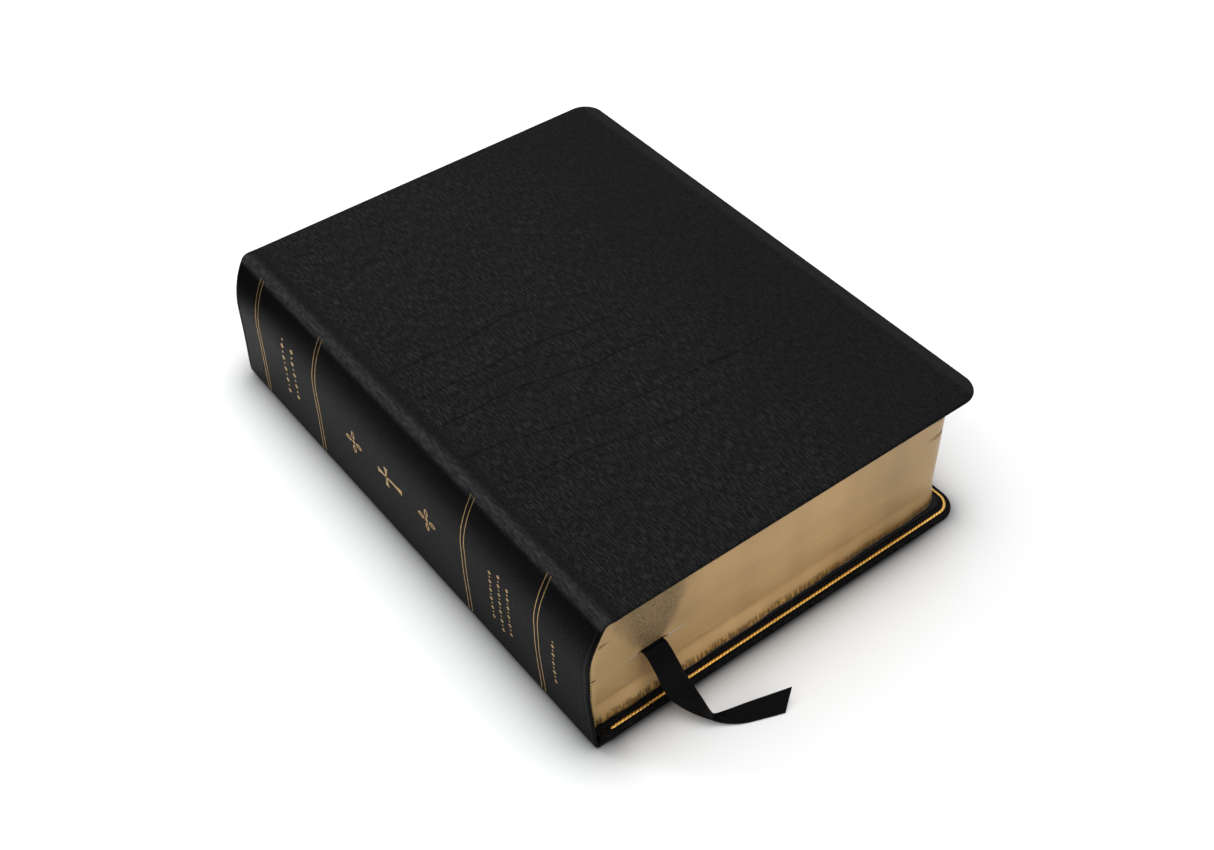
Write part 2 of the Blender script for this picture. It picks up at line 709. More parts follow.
def spine_gold(material):
    foil = Foil()
    for pair_y in RULE_PAIRS_Y:
        for side in (-1, 1):
            foil.add_rule(pair_y + side * RULE_GAP / 2, RULE_W, RIDGE_LEN - 0.6, BEAD_D - 0.4)
    lozenge_row(foil, 84, 33, 32, 1.3)
    lozenge_row(foil, 76.5, 33, 27, 1.3)
    flower(foil, 30.5, 31, 6)
    cross(foil, 4, 31, 17)
    flower(foil, -22, 31, 6)
    lozenge_row(foil, -64.5, 28, 26, 1)
    lozenge_row(foil, -70, 28, 31, 1)
    lozenge_row(foil, -75.5, 28, 26, 1)
    lozenge_row(foil, -103, 28, 23, 1)
    points = settled(np.concatenate(foil.points))
    return make_mesh("spine_gold_tooling", points, foil.faces, material, smooth_shade=False)


# ---- pages ----
LEVELS = 9


def block_back_x(z):
    """Where the back of the pages is at height z: straight, then in along the shoulder."""
    radius = PAGE_SHOULDER_R - (BLOCK_X0 - SPINE_FACE_X)
    rise = np.clip(z - FLANK_Z, 0, radius)
    return BLOCK_X0 + radius - np.sqrt(radius ** 2 - rise ** 2)


def page_ripple(path, z, rng):
    """How far each page's edge stands out from the block's plain face, along its outline."""
    x, y = path.T
    low = smooth((15 - z) / 12)
    waves = 0.04 * np.sin(x / 6.1 + z / 3) + 0.03 * np.sin(y / 7.3 + z / 2.3)
    sag = low * 0.24 * (np.sin(x / 3.1 + 1.0) * np.sin(x / 11.3) + np.sin(y / 4.1) * np.sin(y / 13.7))
    spread = low * np.where(y < 0, 1.9 - 0.8 * smooth((x - 50) / 110), 0.5)
    return waves + sag + spread + rng.normal(0, 0.006)


# how far each gathering laps over the next one, so that no gap shows between them
PAGE_LAP = 0.05
# the two gatherings at the ribbon: how far their page edges rise, over a strip LIP_W wide
LIP_RISE = {"back_gathering_10": 0.58, "front_gathering_01": -0.78}
LIP_W = 1.0
# leaves between the two lips stay just clear of them
LEAF_BACK = LIP_W + 0.3
LEAF_T = 0.14


def gathering(node, side_material, page_material, rng):
    """One gathering of folded sheets, with a fine ripple of page edges on three sides.

    The two gatherings at the ribbon have page edges that rise to meet each other, but not at the ribbon.
    """
    lo, hi = book_box(node)
    bottom = lo[2] - (0.3 if node == "back_gathering_01" else 0.0)
    levels = list(np.linspace(bottom, hi[2] + PAGE_LAP, LEVELS))
    rise = LIP_RISE.get(node, 0.0)
    rings = []
    for z in levels:
        x0 = float(block_back_x(z))
        path, outs = outline_path(x0, BLOCK_X1, BLOCK_HALF, PAGE_CORNER_R, 1.5 if rise else 3.0, 10)
        ripple = page_ripple(path, z, rng) * smooth((path[:, 0] - x0) / 4)
        rings.append(np.column_stack([path + outs * ripple[:, None], np.full(len(path), z)]))
    if rise:
        edge = -1 if rise > 0 else 0
        flat = rings[edge].copy()
        flat[:, :2] -= outs * LIP_W
        ribbon_x = RIBBON_EDGES[0][0][0] + RIBBON_W / 2
        clear_of_ribbon = smooth((np.abs(path[:, 0] - ribbon_x) - 5) / 3)
        lip = np.where(path[:, 1] < 0, clear_of_ribbon, 1.0) * smooth((path[:, 0] - x0) / 4)
        rings[edge][:, 2] += rise * lip
        rings.insert(len(rings) if rise > 0 else 0, flat)
    count = len(rings[0])
    faces = ring_stack_faces(len(rings), count)
    if rise < 0:
        faces = faces[count:] + faces[:count]
    faces.append(list(range(count))[::-1])
    faces.append([(len(rings) - 1) * count + k for k in range(count)])
    flat_last = 2 + count if rise else 2
    materials = [side_material, page_material]
    piece = make_mesh(node + "_pages", np.concatenate(rings), faces, materials, flat_last=flat_last)
    for polygon in piece.data.polygons[-2:]:
        polygon.material_index = 1
    return piece


# ---- thin sheets: linings, leaves and the centre fold ----

def closed_sheet(name, surface, normal, thickness, material, attributes=None, shape=None):
    """A thin closed sheet: a grid of points thickened along its normals, with its border filled in."""
    cols, count = surface.shape[:2]
    points = np.concatenate([(surface + normal * side * thickness / 2).reshape(-1, 3) for side in (1, -1)])
    shift = cols * count
    border = [i * count for i in range(cols)]
    border += [(cols - 1) * count + j for j in range(1, count)]
    border += [i * count + count - 1 for i in range(cols - 2, -1, -1)]
    border += [j for j in range(count - 2, -1, -1)]
    faces = grid_faces(cols, count) + grid_faces(cols, count, shift)
    faces += strip_faces(border, [b + shift for b in border])
    return make_mesh(name, shape(points) if shape else points, faces, material, attributes)


def sheet_along(name, path, halves, rows, thickness, material, sway=None, shape=None):
    """A thin closed sheet: a path in x and z, drawn out along y to each point's half length."""
    path = np.asarray(path, float)
    tangent = np.gradient(path, axis=0)
    tangent /= np.linalg.norm(tangent, axis=1)[:, None]
    normal = np.column_stack([-tangent[:, 1], 0 * tangent[:, 0], tangent[:, 0]])[:, None, :]
    y = np.asarray(halves, float)[:, None] * np.asarray(rows)[None, :]
    x = np.repeat(path[:, :1], y.shape[1], 1)
    z = np.repeat(path[:, 1:], y.shape[1], 1)
    lift = sway(x, y) if sway else 0 * x
    surface = np.stack([x, y, z], 2) + normal * lift[:, :, None]
    return closed_sheet(name, surface, normal, thickness, material, shape=shape)


def leaf_columns(x0, x_end, radius, step):
    turn = x_end - radius
    return chain(spaced(x0, turn, step), turn + radius * np.sin(np.linspace(0, math.pi / 2, 10)))


def half_turn(x, z_from, z_to, count=9):
    """Points of a half circle bulging towards the spine, from one height to another."""
    radius = (z_to - z_from) / 2
    angles = np.linspace(-math.pi / 2, math.pi / 2, count)
    return [(x - abs(radius) * math.cos(a), (z_from + z_to) / 2 + radius * math.sin(a)) for a in angles]


# the front flyleaf stops short of the ridge, which rolls in over it when the cover opens
FLYLEAF_ROOT_IN = 4.0


def page_leaf(node, material):
    """A single free leaf in the place of its plain node."""
    lo, hi = book_box(node)
    middle = (lo[2] + hi[2]) / 2
    root = lo[0] + FLYLEAF_ROOT_IN if node == "front_flyleaf" else lo[0]
    xs = leaf_columns(root, hi[0], PAGE_CORNER_R, 4.0)
    halves = half_length(xs, hi[0], hi[1], PAGE_CORNER_R)
    if node == "middle_leaf":
        xs, halves = xs - LEAF_BACK, halves - LEAF_BACK

    def sway(x, y):
        return 0.05 * np.sin(x / 14 + y / 31) * np.sin(y / 19 + middle)

    path = [(x, middle) for x in xs]
    rows = along_rows(hi[1], 2.0, 5.0, 12)
    return sheet_along(node + "_sheet", path, halves, rows, LEAF_T, material, sway)


JOINT_LAP = 16.0
LINING_PROUD = 0.05
LINING_T = 0.12


def lining(node, page_z, turn_x, material):
    """A cover's inner lining, carried round the joint as an endpaper glued to the pages."""
    lo, hi = book_box(node)
    front = page_z > BOOK_T / 2
    face_z = lo[2] - LINING_PROUD if front else hi[2] + LINING_PROUD
    glued_z = page_z + LINING_T * (1 if front else -1)
    glued = [(x, glued_z) for x in spaced(JOINT_LAP, turn_x + 0.3, 1.5)]
    joint = half_turn(turn_x, glued_z, face_z)
    cover = [(x, face_z) for x in spaced(turn_x + 0.3, lo[0], 1.5)]
    panel_x = leaf_columns(lo[0], hi[0], CORNER_R - TURN_IN, 3.0)[1:]
    path = glued + joint + cover + [(x, face_z) for x in panel_x]
    narrow = [BLOCK_HALF - 0.2] * (len(path) - len(panel_x))
    halves = narrow + list(half_length(panel_x, hi[0], hi[1], CORNER_R - TURN_IN))
    rows = along_rows(hi[1], 1.0, 5.0, 8)
    return sheet_along(node + "_leather", path, halves, rows, LINING_T, material, shape=settled)


CENTRE_LAP = 22.0
FOLD_TOP = (2.2, 34.2)
FOLD_ROOT_X = BLOCK_X0 - 0.2
FOLD_T = 0.08


def centre_fold(name, z, material):
    """Half of the middle sheet of the sewn pages, from the page at height z to the top of its fold.

    The fold stands up behind the pages, so that it still covers the spine when the book lies open.
    """
    path = [(x, z) for x in spaced(CENTRE_LAP, FOLD_ROOT_X, 1.2)]
    share = np.linspace(0, 1, 9)[1:]
    path += [(FOLD_ROOT_X + (FOLD_TOP[0] - FOLD_ROOT_X) * t, z + (FOLD_TOP[1] - z) * t) for t in share]
    halves = [BLOCK_HALF - LEAF_BACK] * len(path)
    return sheet_along(name, path, halves, along_rows(BLOCK_HALF, 2.0, 6.0, 10), FOLD_T, material)


# ---- headbands ----
BAND_R = 0.85
STITCH_PITCH = 0.8


def headbands(node, material):
    """Two stitched rolls along the back of the pages, one at the head and one at the tail."""
    lo, hi = book_box(node)
    z = spaced(lo[2] + 0.2, hi[2] - 0.2, 0.13)
    x = block_back_x(z) - 0.7 + 1.5 * smooth((10 - z) / 4)
    around = np.linspace(0, 2 * math.pi, 13)[:-1]
    radius = BAND_R * (0.90 + 0.10 * np.abs(np.sin(math.pi * z / STITCH_PITCH)))
    points, faces = [], []
    for side in (-1, 1):
        centre_y = side * (BLOCK_HALF + BAND_R + 0.06)
        first = len(points) * len(around)
        for k in range(len(z)):
            ring = np.column_stack([x[k] + radius[k] * np.cos(around), centre_y + radius[k] * np.sin(around),
                                    0 * around + z[k]])
            points.append(ring)
        faces += ring_stack_faces(len(z), len(around), first)
        faces.append([first + k for k in range(len(around))])
        faces.append([first + (len(z) - 1) * len(around) + k for k in range(len(around))])
    return make_mesh(node + "_silk", np.concatenate(points), faces, material)


# ---- ribbon ----
RIBBON_T = 0.22
RIBBON_PRESSED_T = 0.12
RIBBON_W = 10.0
# The ribbon's left and right edges, from where it leaves the pages to its cut end.
RIBBON_EDGES = [
    ((26.3, -117.6, 28.5), (36.2, -117.6, 28.5)),
    ((26.7, -120.0, 27.6), (36.5, -119.8, 27.9)),
    ((27.8, -124.2, 20.8), (37.5, -123.6, 22.4)),
    ((29.0, -127.0, 13.8), (39.2, -126.5, 15.0)),
    ((30.9, -129.6, 8.6), (41.0, -128.9, 9.4)),
    ((33.8, -134.8, 6.0), (42.3, -133.2, 3.8)),
    ((37.8, -140.6, 4.4), (42.6, -137.3, 0.8)),
    ((42.6, -144.5, 1.6), (43.0, -139.3, 1.6)),
    ((48.2, -148.0, 0.35), (45.6, -142.2, 4.6)),
    ((55.4, -151.0, 0.25), (52.8, -145.4, 6.7)),
    ((63.4, -154.0, 0.3), (69.3, -150.3, 7.0)),
]


def smooth_run(points, per_span):
    """A smooth curve through points, with per_span steps between each two."""
    pts = np.asarray(points, float)
    padded = np.vstack([2 * pts[0] - pts[1], pts, 2 * pts[-1] - pts[-2]])
    out = []
    for k in range(len(pts) - 1):
        p0, p1, p2, p3 = padded[k:k + 4]
        for t in np.linspace(0, 1, per_span, endpoint=False):
            out.append(0.5 * (2 * p1 + (p2 - p0) * t + (2 * p0 - 5 * p1 + 4 * p2 - p3) * t ** 2
                              + (3 * p1 - p0 - 3 * p2 + p3) * t ** 3))
    out.append(pts[-1])
    return np.array(out)


def band_between(name, left, right, across, thickness, material):
    """A thin closed band between two edge curves."""
    share = np.linspace(0, 1, across)
    surface = left[:, None, :] * (1 - share)[None, :, None] + right[:, None, :] * share[None, :, None]
    along = np.gradient(surface, axis=0)
    over = np.gradient(surface, axis=1)
    normal = np.cross(over, along)
    normal /= np.linalg.norm(normal, axis=2)[:, :, None]
    cols, count = surface.shape[:2]
    run = np.concatenate([[0], np.cumsum(np.linalg.norm(np.diff(surface[:, count // 2], axis=0), axis=1))])
    width = np.linspace(-1, 1, count)
    place = np.stack([np.repeat(run[:, None], count, 1), np.repeat(width[None, :] * 5, cols, 0),
                      np.zeros((cols, count))], 2).reshape(-1, 3)
    attributes = {"ribbon_place": np.concatenate([place, place])}
    return closed_sheet(name, surface, normal, thickness, material, attributes)


RIBBON_ROOT_X = 14.0
DROP_STATIONS = 7
SPAN_STEPS = 8


def ribbon_pieces(material):
    """The ribbon in its three stretches: between the pages, over the edge, and lying on the table."""
    lo, hi = book_box("ribbon_in_pages")
    z = (lo[2] + hi[2]) / 2
    tail_l, tail_r = (np.array(p) for p in RIBBON_EDGES[0])
    root_l = np.array([RIBBON_ROOT_X - RIBBON_W / 2, hi[1], z])
    root_r = np.array([RIBBON_ROOT_X + RIBBON_W / 2, hi[1], z])
    left = np.linspace(root_l, tail_l, 30)
    right = np.linspace(root_r, tail_r, 30)
    inside = band_between("ribbon_in_pages_satin", left, right, 5, RIBBON_PRESSED_T, material)
    left = smooth_run([pair[0] for pair in RIBBON_EDGES], SPAN_STEPS)
    right = smooth_run([pair[1] for pair in RIBBON_EDGES], SPAN_STEPS)
    cut = (DROP_STATIONS - 1) * SPAN_STEPS
    drop = band_between("ribbon_drop_satin", left[:cut + 1], right[:cut + 1], 9, RIBBON_T, material)
    end = band_between("ribbon_end_satin", left[cut:], right[cut:], 9, RIBBON_T, material)
    return inside, drop, end


# ---- materials ----

class Nodes:
    """A short way to add and join shader nodes, in a new material or in the world."""

    def __init__(self, name, owner=None):
        self.material = owner or bpy.data.materials.new(name)
        self.material.use_nodes = True
        self.tree = self.material.node_tree
        self.shader = self.tree.nodes["Background" if owner else "Principled BSDF"]

    def add(self, kind, inputs=None, **settings):
        node = self.tree.nodes.new("ShaderNode" + kind)
        for key, value in settings.items():
            setattr(node, key, value)
        for key, value in (inputs or {}).items():
            self.put(node.inputs[key], value)
        return node

    def put(self, socket, value):
        if isinstance(value, bpy.types.NodeSocket):
            self.tree.links.new(value, socket)
        else:
            socket.default_value = value

    def math(self, operation, a, b=0.0, c=0.0):
        return self.add("Math", {0: a, 1: b, 2: c}, operation=operation).outputs[0]

    def times(self, a, b):
        return self.math("MULTIPLY", a, b)

    def apart(self, a, b):
        """How far apart two values are."""
        return self.math("ABSOLUTE", self.math("SUBTRACT", a, b))

    def split(self, vector):
        """A vector's x, y and z."""
        return self.add("SeparateXYZ", {"Vector": vector}).outputs

    def attribute(self, name, output="Vector"):
        return self.add("Attribute", attribute_name=name).outputs[output]

    def object_mm(self):
        """The point's place in the row's frame, in millimetres."""
        place = self.add("TexCoord").outputs["Object"]
        return self.add("VectorMath", {0: place, 3: 1 / MM}, operation="SCALE").outputs[0]

    def stretch(self, vector, scale):
        return self.add("Mapping", {"Vector": vector, "Scale": scale}).outputs[0]

    def noise(self, vector, scale=1.0, detail=2.0, rough=0.5, distort=0.0):
        inputs = {"Vector": vector, "Scale": scale, "Detail": detail}
        return self.add("TexNoise", {**inputs, "Roughness": rough, "Distortion": distort}).outputs["Fac"]

    def grain(self, vector, scale, detail=2.0, rough=0.5, distort=0.0):
        """Noise with its own scale along each axis."""
        return self.noise(self.stretch(vector, scale), 1.0, detail, rough, distort)

    def ramp(self, value, lo, hi, out_lo=0.0, out_hi=1.0):
        inputs = {"Value": value, "From Min": lo, "From Max": hi, "To Min": out_lo, "To Max": out_hi}
        return self.add("MapRange", inputs, interpolation_type="SMOOTHSTEP").outputs["Result"]

    def mix(self, share, a, b):
        node = self.add("Mix", data_type="RGBA")
        self.put(node.inputs["Factor"], share)
        self.put(node.inputs["A"], a)
        self.put(node.inputs["B"], b)
        return node.outputs["Result"]

    def bump(self, height, depth_mm):
        """A bump whose height of 0 to 1 stands for depth_mm."""
        inputs = {"Height": height, "Distance": depth_mm * MM, "Strength": 1.0}
        return self.add("Bump", inputs).outputs["Normal"]

    def finish(self, **values):
        for key, value in values.items():
            self.put(self.shader.inputs[key.replace("_", " ")], value)
        return self.material


def rgb(r, g, b):
    return (r, g, b, 1.0)


def grey(v):
    return (v, v, v, 1.0)


def tint(tone, by=1.0):
    return (*(v * by for v in tone), 1.0)


LEATHER_SHINE = 0.024
LEATHER_SHADE = grey(0.0008)
LEATHER_PEBBLE = grey(0.015)
LEATHER_STREAK = grey(0.034)
LEATHER_RIDGE_RUB = grey(0.03)
LEATHER_FORE_RUB = grey(0.024)
LEATHER_RELIEF = 0.10


def hide_leather(name, streaks):
    """Black leather with a fine pebble, raised streaks across the grain and long creases."""
    n = Nodes(name)
    place = n.attribute("hide_place")
    across = n.split(place)[0]
    patches = n.ramp(n.grain(place, (0.035, 0.05, 1), 2.0), 0.30, 0.60, 0.70, 1.0)
    fade = n.times(n.ramp(across, -2, -7), n.ramp(across, -150, -75, 0.20, 1.0))
    streak_noise = n.grain(place, (1.75, 0.24, 1), 4.0, 0.7, 0.3)
    streak = n.ramp(streak_noise, 0.48, 0.66)
    streak = n.times(n.times(streak, fade), patches)
    fine = n.grain(place, (1.5, 1.15, 1), 4.0, 0.8)
    mottle = n.ramp(n.grain(place, (0.42, 0.36, 1), 3.0, 0.6), 0.40, 0.64, 0.0, 0.55)
    crease = n.attribute("crease", "Fac")
    wander = n.math("MULTIPLY_ADD", n.grain(place, (0.12, 0.3, 1), 2.0), 1.2, -0.6)
    gap = n.math("DIVIDE", n.math("ADD", crease, wander), 0.48)
    valley = n.math("EXPONENT", n.times(n.times(gap, gap), -1.0))
    valley = n.times(valley, n.attribute("crease_strength", "Fac"))
    height = n.math("MULTIPLY_ADD", streak, streaks, n.times(fine, 0.5))
    height = n.math("MULTIPLY_ADD", valley, -0.55, height)
    worn = n.grain(place, (0.02, 0.025, 1), 3.0, 0.6)
    tone = n.mix(worn, rgb(0.0029, 0.0029, 0.0030), rgb(0.0044, 0.0043, 0.0044))
    tone = n.mix(mottle, tone, rgb(0.0085, 0.0085, 0.0087))
    tone = n.mix(n.times(streak, 0.95 * streaks), tone, LEATHER_STREAK)
    under_ridge = n.times(n.ramp(across, 4.5, 7.5), n.ramp(across, 24.0, 12.0))
    tone = n.mix(n.times(under_ridge, 0.92), tone, LEATHER_SHADE)
    tone = n.mix(n.ramp(across, 16.0, 30.0, 0.0, 0.60), tone, LEATHER_SHADE)
    grain = n.times(n.ramp(under_ridge, 0.0, 1.0, 0.85, 0.40), n.ramp(across, 8.0, 26.0, 1.0, 1.1))
    tone = n.mix(n.times(n.ramp(fine, 0.46, 0.64), grain), tone, LEATHER_PEBBLE)
    rubbed = n.times(n.ramp(across, -1.8, 2.0), n.ramp(across, 6.2, 4.2))
    scuff = n.ramp(n.grain(place, (0.9, 0.22, 1), 4.0, 0.7), 0.40, 0.66, 0.25, 1.0)
    tone = n.mix(n.times(rubbed, scuff), tone, LEATHER_RIDGE_RUB)
    tone = n.mix(n.times(n.ramp(across, -169.5, -172.5), 0.30), tone, LEATHER_FORE_RUB)
    tone = n.mix(n.times(valley, 0.5), tone, LEATHER_SHADE)
    rough = n.math("MULTIPLY_ADD", valley, 0.3, n.ramp(fine, 0.3, 0.7, 0.46, 0.36))
    return n.finish(Base_Color=tone, Roughness=rough, Specular_IOR_Level=LEATHER_SHINE,
                    Normal=n.bump(height, LEATHER_RELIEF))


def smooth_leather(name, tone, rough):
    """Thin smooth leather for the linings and the turned-in margins."""
    n = Nodes(name)
    place = n.object_mm()
    fine = n.noise(place, 1.6, 3.0, 0.6)
    worn = n.noise(place, 0.03, 3.0, 0.6)
    base = n.mix(worn, tint(tone), tint(tone, 1.6))
    return n.finish(Base_Color=base, Roughness=n.ramp(worn, 0.3, 0.7, rough - 0.05, rough + 0.05),
                    Specular_IOR_Level=0.12, Normal=n.bump(fine, 0.04))


def gold_foil(name, tone, rough, twisted=False):
    """Hot-stamped foil: bright, slightly broken where the leather's grain shows through."""
    n = Nodes(name)
    place = n.object_mm()
    flecks = n.noise(place, 1.9, 3.0, 0.7)
    slow = n.noise(place, 0.12, 2.0)
    base = n.mix(n.ramp(flecks, 0.35, 0.62), tint(tone, 0.45), tint(tone))
    base = n.mix(n.ramp(slow, 0.35, 0.7, 0.0, 0.35), base, rgb(tone[0], tone[1] * 0.85, tone[2] * 0.6))
    if twisted:
        base = n.mix(n.ramp(n.attribute("twist", "Fac"), 0.40, 0.10), base, rgb(0.34, 0.15, 0.02))
    return n.finish(Base_Color=base, Metallic=1.0, Roughness=n.ramp(flecks, 0.3, 0.7, rough + 0.15, rough),
                    Normal=n.bump(flecks, 0.05))


GILT_TONE = (0.575, 0.380, 0.174)
GILT_DULL = rgb(0.20, 0.14, 0.075)
GILT_COLUMN = rgb(0.20, 0.14, 0.07)
GILT_BAND = rgb(0.30, 0.20, 0.10)
GILT_LINE = rgb(0.26, 0.18, 0.09)
GILT_SCUFFED = rgb(0.28, 0.18, 0.08)
GILT_GLINT = rgb(1.0, 0.68, 0.24)
GILT_PATCH = rgb(0.085, 0.062, 0.030)
BARE_PAPER = rgb(0.62, 0.60, 0.56)
COLUMN_PITCH = 25
COLUMN_X = 75
GILT_ROUGH = 0.34
GILT_ROUGH_LOW = 0.32
PAPER_EDGE_Z = 4.35
MIDDLE_EDGE_Z = 28.9


def gilt_edges():
    """Gilt page edges: satin gold with lines of pages, and a darker patch above the ribbon.

    The lowest few millimetres are scuffed, with glints, and pale paper shows at the very bottom and
    where the pages part at the ribbon.
    """
    n = Nodes("gilt_pages")
    place = n.object_mm()
    px, py, pz = n.split(place)
    lines = n.grain(place, (0.02, 0.02, 4.0), 2.0, 0.6)
    bands = n.grain(place, (0.010, 0.010, 0.8), 2.0, 0.5)
    cloud = n.grain(place, (0.03, 0.03, 0.02), 1.0)
    column_turn = 2 * math.pi / COLUMN_PITCH
    column = n.math("COSINE", n.math("MULTIPLY_ADD", px, column_turn, -column_turn * (COLUMN_X + SPINE_X)))
    speck = n.noise(place, 1.1, 3.0, 0.7)
    gold = n.mix(n.ramp(cloud, 0.34, 0.62), tint(GILT_TONE, 0.88), tint(GILT_TONE))
    gold = n.mix(n.ramp(pz, 38.0, 8.0), gold, tint(GILT_TONE, 1.38))
    gold = n.mix(n.times(n.ramp(column, -0.2, 1.0, 0.0, 0.09), n.ramp(px, -38.0, -20.0)),
                 gold, GILT_COLUMN)
    gold = n.mix(n.ramp(bands, 0.50, 0.75, 0.0, 0.08), gold, GILT_BAND)
    gold = n.mix(n.ramp(lines, 0.55, 0.8, 0.0, 0.10), gold, GILT_LINE)
    gold = n.mix(n.ramp(px, 20.0, 75.0, 0.0, 0.38), gold, GILT_DULL)
    gold = n.mix(n.ramp(px, -62.0, -84.0, 0.0, 0.25), gold, GILT_DULL)
    ragged_z = n.math("MULTIPLY_ADD", n.grain(place, (0.14, 0.14, 0.0), 2.0), 3.5, pz)
    scuffed = n.ramp(ragged_z, 10.4, 8.2, 0.0, 0.85)
    glint = n.ramp(n.grain(place, (1.0, 1.0, 0.10), 3.0, 0.6), 0.48, 0.60)
    glint = n.times(glint, n.ramp(px, 60.0, -10.0, 0.35, 1.0))
    gold = n.mix(scuffed, gold, n.mix(glint, GILT_SCUFFED, GILT_GLINT))
    ribbon_z = float(book_box("ribbon_in_pages")[0][2])
    ribbon_x = float(to_row(RIBBON_EDGES[0][0])[0] / MM + RIBBON_W / 2)
    spread = n.math("MULTIPLY_ADD", n.math("SUBTRACT", pz, ribbon_z), 0.50, RIBBON_W / 2)
    off = n.math("DIVIDE", n.apart(px, ribbon_x), spread)
    ragged = n.math("MULTIPLY_ADD", n.grain(place, (0.16, 0.16, 0.10), 2.0), 0.6, off)
    above = n.times(n.ramp(pz, ribbon_z - 1, ribbon_z + 3), n.ramp(py, 20.0, 0.0))
    patch = n.times(n.ramp(ragged, 1.55, 0.80), above)
    patch = n.times(patch, n.ramp(speck, 0.25, 0.68, 0.85, 0.45))
    gold = n.mix(patch, gold, GILT_PATCH)
    paper_edge = n.times(n.ramp(pz, PAPER_EDGE_Z + 0.35, PAPER_EDGE_Z), n.ramp(px, -60.0, -48.0))
    parted = n.times(n.ramp(n.apart(pz, MIDDLE_EDGE_Z), 0.34, 0.22),
                     n.ramp(n.apart(px, ribbon_x + 2), 15.0, 10.0))
    bare = n.math("MAXIMUM", paper_edge, n.times(parted, n.ramp(py, 20.0, 0.0)))
    gold = n.mix(n.times(bare, 0.9), gold, BARE_PAPER)
    rough = n.math("MULTIPLY_ADD", speck, 0.10, n.ramp(pz, 8.0, 24.0, GILT_ROUGH_LOW, GILT_ROUGH))
    height = n.math("MULTIPLY_ADD", bands, 0.5, lines)
    return n.finish(Base_Color=gold, Metallic=0.9, Roughness=rough, Normal=n.bump(height, 0.012))


def paper(name, tone, grain=0.02, rough=0.85):
    n = Nodes(name)
    place = n.object_mm()
    fibres = n.grain(place, (0.6, 1.4, 1.0), 4.0, 0.65)
    base = n.mix(n.ramp(fibres, 0.3, 0.7), tint(tone, 0.93), tint(tone))
    return n.finish(Base_Color=base, Roughness=rough, Specular_IOR_Level=0.2, Normal=n.bump(fibres, grain))


def woven(name, tone, thread_mm, depth_mm, dark=0.6):
    """Plain-woven cloth, with threads along y and z of the spine."""
    n = Nodes(name)
    x, y, z = n.split(n.object_mm())
    turn = 2 * math.pi / thread_mm
    warp = n.math("SINE", n.times(y, turn))
    weft = n.math("SINE", n.times(z, turn))
    weave = n.math("MULTIPLY_ADD", n.times(warp, weft), 0.5, 0.5)
    base = n.mix(weave, tint(tone, dark), tint(tone))
    return n.finish(Base_Color=base, Roughness=0.85, Specular_IOR_Level=0.2, Normal=n.bump(weave, depth_mm))


def headband_silk():
    """Gold silk with black stitches."""
    n = Nodes("headband_silk")
    x, y, z = n.split(n.object_mm())
    slant = n.math("MULTIPLY_ADD", x, 0.5, z)
    stripe = n.math("SINE", n.times(slant, 2 * math.pi / (2 * STITCH_PITCH)))
    base = n.mix(n.ramp(stripe, -0.2, 0.2), rgb(0.012, 0.011, 0.01), rgb(0.50, 0.33, 0.03))
    fibres = n.grain(n.object_mm(), (5, 5, 2), 2.0)
    return n.finish(Base_Color=base, Roughness=0.5, Sheen_Weight=0.2, Normal=n.bump(fibres, 0.04))


def satin():
    """Black satin ribbon: fine lengthways sheen and a woven edge."""
    n = Nodes("ribbon_satin")
    place = n.attribute("ribbon_place")
    along, over, up = n.split(place)
    threads = n.grain(place, (0.25, 7.0, 1.0), 2.0, 0.6)
    ribs = n.math("SINE", n.times(along, 2 * math.pi / 0.45))
    edge = n.ramp(n.math("ABSOLUTE", over), 4.2, 4.5)
    height = n.math("MULTIPLY_ADD", ribs, 0.15, threads)
    height = n.math("MULTIPLY_ADD", edge, 0.8, height)
    base = n.mix(threads, rgb(0.0022, 0.0022, 0.0024), rgb(0.0042, 0.0042, 0.0045))
    return n.finish(Base_Color=base, Roughness=0.5, Specular_IOR_Level=0.045, Normal=n.bump(height, 0.04))


# ---- camera, light and floor ----
CAMERA_AZ = -37.206
CAMERA_EL = 45.047
CAMERA_ROLL = -0.754
CAMERA_PLACE = (-187.14, -380.59, 479.84)
CAMERA_LENS = 47.53


def make_camera():
    az, el, roll = (math.radians(v) for v in (CAMERA_AZ, CAMERA_EL, CAMERA_ROLL))
    back = Vector((math.sin(az) * math.cos(el), -math.cos(az) * math.cos(el), math.sin(el)))
    right = Vector((0, 0, 1)).cross(back).normalized()
    up = back.cross(right)
    turned_right = right * math.cos(roll) + up * math.sin(roll)
    turned_up = up * math.cos(roll) - right * math.sin(roll)
    camera = bpy.data.objects.new("camera", bpy.data.cameras.new("camera"))
    camera.data.sensor_width = 36.0
    camera.data.lens = CAMERA_LENS
    camera.data.clip_start = 0.01
    axes = Matrix((turned_right, turned_up, back)).transposed().to_4x4()
    camera.matrix_world = Matrix.Translation(row_point(*CAMERA_PLACE)) @ axes
    bpy.context.collection.objects.link(camera)
    bpy.context.scene.camera = camera


def area_light(name, place, target, size, watts):
    light = bpy.data.lights.new(name, "AREA")
    light.shape = "RECTANGLE"
    light.size, light.size_y = size
    light.energy = watts
    lamp = bpy.data.objects.new(name, light)
    lamp.location = place
    lamp.rotation_mode = "QUATERNION"
    lamp.rotation_quaternion = (Vector(target) - Vector(place)).to_track_quat("-Z", "Y")
    bpy.context.collection.objects.link(lamp)
    return lamp


SKY_HORIZON = 0.03
SKY_MIDDLE = 0.80
SKY_OVERHEAD = 2.35
SKY_RISE = (0.05, 0.50)
SKY_CROWN = (0.76, 0.92)
SKY_LEFT_BIAS = 0.05


